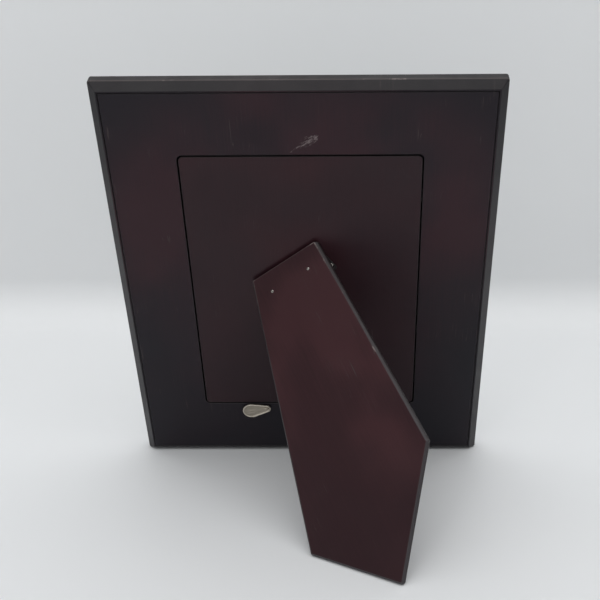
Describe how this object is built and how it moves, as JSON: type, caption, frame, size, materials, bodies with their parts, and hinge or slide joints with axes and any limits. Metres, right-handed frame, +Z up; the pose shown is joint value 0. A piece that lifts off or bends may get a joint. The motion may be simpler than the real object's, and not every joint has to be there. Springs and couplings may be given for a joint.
{
  "type": "picture frame",
  "caption": "Table-top picture frame leaning back on a five-sided easel leg, hinged to a tongued back panel that a teardrop turn button holds over glass, print and filler.",
  "frame": {"origin": "on the table under the middle of the whole object's box", "axes": "+Z up from the table, -Y the way the picture faces, +X to the right of someone looking at the picture"},
  "size_m": [0.216, 0.1544, 0.2586],
  "materials": {
    "frame_lacquer": "satin near-black lacquer over board",
    "panel_lacquer": "satin mahogany lacquer over board",
    "leg_lacquer": "satin mahogany lacquer over board",
    "clear_glass": "clear float glass",
    "print_paper": "semi-gloss photo paper",
    "filler_card": "corrugated brown card",
    "hinge_steel": "dark lacquered pressed steel",
    "rivet_steel": "bright steel",
    "nickel": "satin nickel plate"
  },
  "bodies": {
    "frame": {"frame_slab": "frame_lacquer", "glass_pane": "clear_glass", "picture_print": "print_paper", "filler_board": "filler_card", "turn_button_pin": "nickel"},
    "panel": {"back_panel": "panel_lacquer", "hinge_panel_leaf": "hinge_steel", "hinge_pin": "rivet_steel", "panel_rivets": "rivet_steel"},
    "leg": {"easel_leg": "leg_lacquer", "hinge_leg_leaf": "hinge_steel", "leg_rivets": "rivet_steel"},
    "button": {"turn_button": "nickel"}
  },
  "joints": [
    {"name": "panel_tip", "type": "hinge", "parent": "frame", "child": "panel", "pos_m": [0, -0.00754, 0.21544], "axis": [1, 0, 0], "range_deg": [0, 20]},
    {"name": "leg_fold", "type": "hinge", "parent": "panel", "child": "leg", "pos_m": [0.0074, -0.02284, 0.14455], "axis": [-0.7934, 0.1627, 0.5866], "range_deg": [0, 45.6]},
    {"name": "button_swivel", "type": "hinge", "parent": "frame", "child": "button", "pos_m": [0.0276, -0.05446, 0.0373], "axis": [0, -0.9636, 0.2672], "continuous": true}
  ]
}
